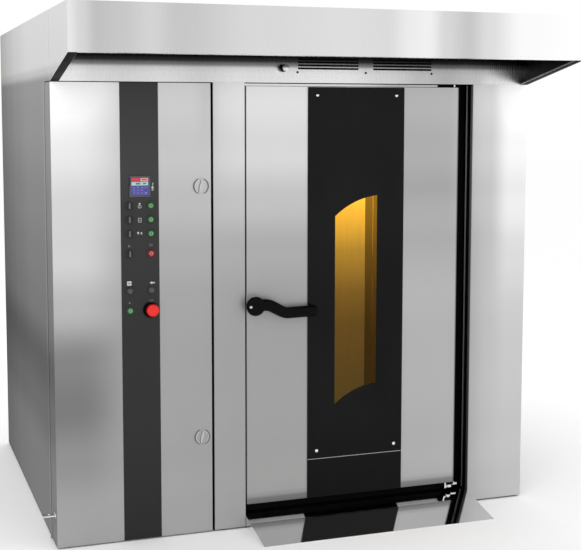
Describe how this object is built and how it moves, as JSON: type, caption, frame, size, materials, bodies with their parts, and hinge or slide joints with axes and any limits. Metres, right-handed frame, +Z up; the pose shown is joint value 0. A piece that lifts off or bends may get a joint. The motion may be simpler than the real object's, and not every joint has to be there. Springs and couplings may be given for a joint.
{
  "type": "rotating rack oven",
  "caption": "Free-standing rotating rack oven with a glazed hinged baking door, a control door, an entry ramp, a front hood and a turntable inside.",
  "frame": {"origin": "on the floor, under the middle of the body's footprint, which leaves out the hood and the ramp", "axes": "+X to the right as seen from the front, +Y to the back, +Z up"},
  "size_m": [2.462, 2.44, 2.56],
  "materials": {
    "base_steel": "satin",
    "brushed_steel": "brushed",
    "liner_steel": "brushed",
    "insulation": "matt fibre",
    "jamb_dark": "matt black",
    "heat_steel": "heat tinted",
    "burner_red": "gloss paint",
    "cast_dark": "oiled",
    "brass": "plain",
    "motor_paint": "gloss paint",
    "chain_steel": "oiled",
    "board_plate": "satin",
    "lamp_glass": "clear, lit",
    "bright_steel": "polished",
    "strip_black": "satin",
    "display_plastic": "gloss",
    "black_plastic": "satin",
    "green_lens": "translucent",
    "red_lens": "translucent",
    "grey_cap": "satin",
    "stop_red": "gloss",
    "seal_rubber": "matt",
    "dark_glass": "gloss black",
    "clear_glass": "clear",
    "handle_black": "satin"
  },
  "bodies": {
    "oven": {"base_frame": "base_steel", "side_panels": "brushed_steel", "rear_panel": "brushed_steel", "roof_panel": "brushed_steel", "front_pillars": "brushed_steel", "top_fascia": "brushed_steel", "hood_canopy": "brushed_steel", "chamber_liner": "liner_steel", "air_walls": "liner_steel", "insulation": "insulation", "drive_deck": "brushed_steel", "door_jamb": "jamb_dark", "heat_exchanger": "heat_steel", "burner": "burner_red", "roof_collars": "brushed_steel", "steam_generator": "cast_dark", "rear_inlets": "brass", "fan_motor": "motor_paint", "gearmotor": "motor_paint", "rotation_bearings": "cast_dark", "drive_chain": "chain_steel", "electrical_board": "board_plate", "chamber_lamp": "lamp_glass", "ramp": "brushed_steel", "door_pivots": "bright_steel", "service_hinge": "bright_steel"},
    "service_door": {"service_door_panel": "brushed_steel", "control_strip": "strip_black", "display_unit": "display_plastic", "control_bodies": "black_plastic", "latch_cups": "bright_steel", "service_door_lug": "bright_steel"},
    "baking_door": {"door_outer_skin": "brushed_steel", "door_inner_skin": "liner_steel", "door_core": "insulation", "door_seal": "seal_rubber", "door_glass": "dark_glass", "viewing_glass": "clear_glass", "door_hinge_arms": "jamb_dark"},
    "handle": {"door_handle": "handle_black"},
    "turntable": {"turntable": "liner_steel"},
    "hanger": {"hanger": "liner_steel", "driven_sprocket": "chain_steel"},
    "drive_sprocket": {"drive_sprocket": "chain_steel"},
    "circulation_fan": {"fan_impeller": "liner_steel"},
    "damper": {"damper": "bright_steel"},
    "stop_button": {"stop_button": "stop_red"},
    "selector_1": {"selector_1": "black_plastic"},
    "selector_2": {"selector_2": "black_plastic"},
    "selector_3": {"selector_3": "black_plastic"},
    "selector_4": {"selector_4": "black_plastic"},
    "button_1": {"button_1": "green_lens"},
    "button_2": {"button_2": "green_lens"},
    "button_3": {"button_3": "green_lens"},
    "button_4": {"button_4": "red_lens"},
    "button_5": {"button_5": "grey_cap"},
    "button_6": {"button_6": "grey_cap"},
    "button_7": {"button_7": "green_lens"},
    "latch_wing_1": {"latch_wing_1": "bright_steel"},
    "latch_wing_2": {"latch_wing_2": "bright_steel"}
  },
  "joints": [
    {"name": "baking_door_hinge", "type": "hinge", "parent": "oven", "child": "baking_door", "pos_m": [0.799, -0.925, 1], "axis": [0, 0, 1], "range_deg": [0, 120]},
    {"name": "door_handle_turn", "type": "hinge", "parent": "baking_door", "child": "handle", "pos_m": [-0.26, -0.95, 1.083], "axis": [0, -1, 0], "range_deg": [0, 80]},
    {"name": "service_door_hinge", "type": "hinge", "parent": "oven", "child": "service_door", "pos_m": [-1.2045, -0.808, 1], "axis": [0, 0, -1], "range_deg": [0, 100]},
    {"name": "latch_turn_1", "type": "hinge", "parent": "service_door", "child": "latch_wing_1", "pos_m": [-0.511, -0.95, 1.651], "axis": [0, 1, 0], "range_deg": [0, 90]},
    {"name": "latch_turn_2", "type": "hinge", "parent": "service_door", "child": "latch_wing_2", "pos_m": [-0.511, -0.95, 0.467], "axis": [0, 1, 0], "range_deg": [0, 90]},
    {"name": "selector_turn_1", "type": "hinge", "parent": "service_door", "child": "selector_1", "pos_m": [-0.85, -0.95, 1.568], "axis": [0, 1, 0], "range_deg": [-45, 45]},
    {"name": "selector_turn_2", "type": "hinge", "parent": "service_door", "child": "selector_2", "pos_m": [-0.85, -0.95, 1.504], "axis": [0, 1, 0], "range_deg": [-45, 45]},
    {"name": "selector_turn_3", "type": "hinge", "parent": "service_door", "child": "selector_3", "pos_m": [-0.85, -0.95, 1.44], "axis": [0, 1, 0], "range_deg": [-45, 45]},
    {"name": "selector_turn_4", "type": "hinge", "parent": "service_door", "child": "selector_4", "pos_m": [-0.85, -0.95, 1.348], "axis": [0, 1, 0], "range_deg": [-45, 45]},
    {"name": "button_press_1", "type": "slide", "parent": "service_door", "child": "button_1", "axis": [0, 1, 0], "range_m": [0, 0.003], "stiffness_N_per_m": 600, "springref_m": -0.001},
    {"name": "button_press_2", "type": "slide", "parent": "service_door", "child": "button_2", "axis": [0, 1, 0], "range_m": [0, 0.003], "stiffness_N_per_m": 600, "springref_m": -0.001},
    {"name": "button_press_3", "type": "slide", "parent": "service_door", "child": "button_3", "axis": [0, 1, 0], "range_m": [0, 0.003], "stiffness_N_per_m": 600, "springref_m": -0.001},
    {"name": "button_press_4", "type": "slide", "parent": "service_door", "child": "button_4", "axis": [0, 1, 0], "range_m": [0, 0.003], "stiffness_N_per_m": 600, "springref_m": -0.001},
    {"name": "button_press_5", "type": "slide", "parent": "service_door", "child": "button_5", "axis": [0, 1, 0], "range_m": [0, 0.003], "stiffness_N_per_m": 600, "springref_m": -0.001},
    {"name": "button_press_6", "type": "slide", "parent": "service_door", "child": "button_6", "axis": [0, 1, 0], "range_m": [0, 0.003], "stiffness_N_per_m": 600, "springref_m": -0.001},
    {"name": "button_press_7", "type": "slide", "parent": "service_door", "child": "button_7", "axis": [0, 1, 0], "range_m": [0, 0.003], "stiffness_N_per_m": 600, "springref_m": -0.001},
    {"name": "stop_press", "type": "slide", "parent": "service_door", "child": "stop_button", "axis": [0, 1, 0], "range_m": [0, 0.005]},
    {"name": "turntable_spin", "type": "hinge", "parent": "oven", "child": "turntable", "pos_m": [0.29, -0.19, 0.066], "axis": [0, 0, 1], "continuous": true},
    {"name": "hanger_spin", "type": "hinge", "parent": "oven", "child": "hanger", "pos_m": [0.29, -0.19, 2.2], "axis": [0, 0, 1], "continuous": true},
    {"name": "drive_sprocket_spin", "type": "hinge", "parent": "oven", "child": "drive_sprocket", "pos_m": [-0.12, -0.19, 2.2], "axis": [0, 0, 1], "continuous": true},
    {"name": "circulation_fan_spin", "type": "hinge", "parent": "oven", "child": "circulation_fan", "pos_m": [0.609, 0.664, 2], "axis": [0, 0, 1], "continuous": true},
    {"name": "damper_turn", "type": "hinge", "parent": "oven", "child": "damper", "pos_m": [-0.11, -0.95, 2.198], "axis": [0, 1, 0], "range_deg": [0, 90]}
  ],
  "couplings": [
    {"joint": "drive_sprocket_spin", "follows": "hanger_spin", "ratio": 2}
  ]
}
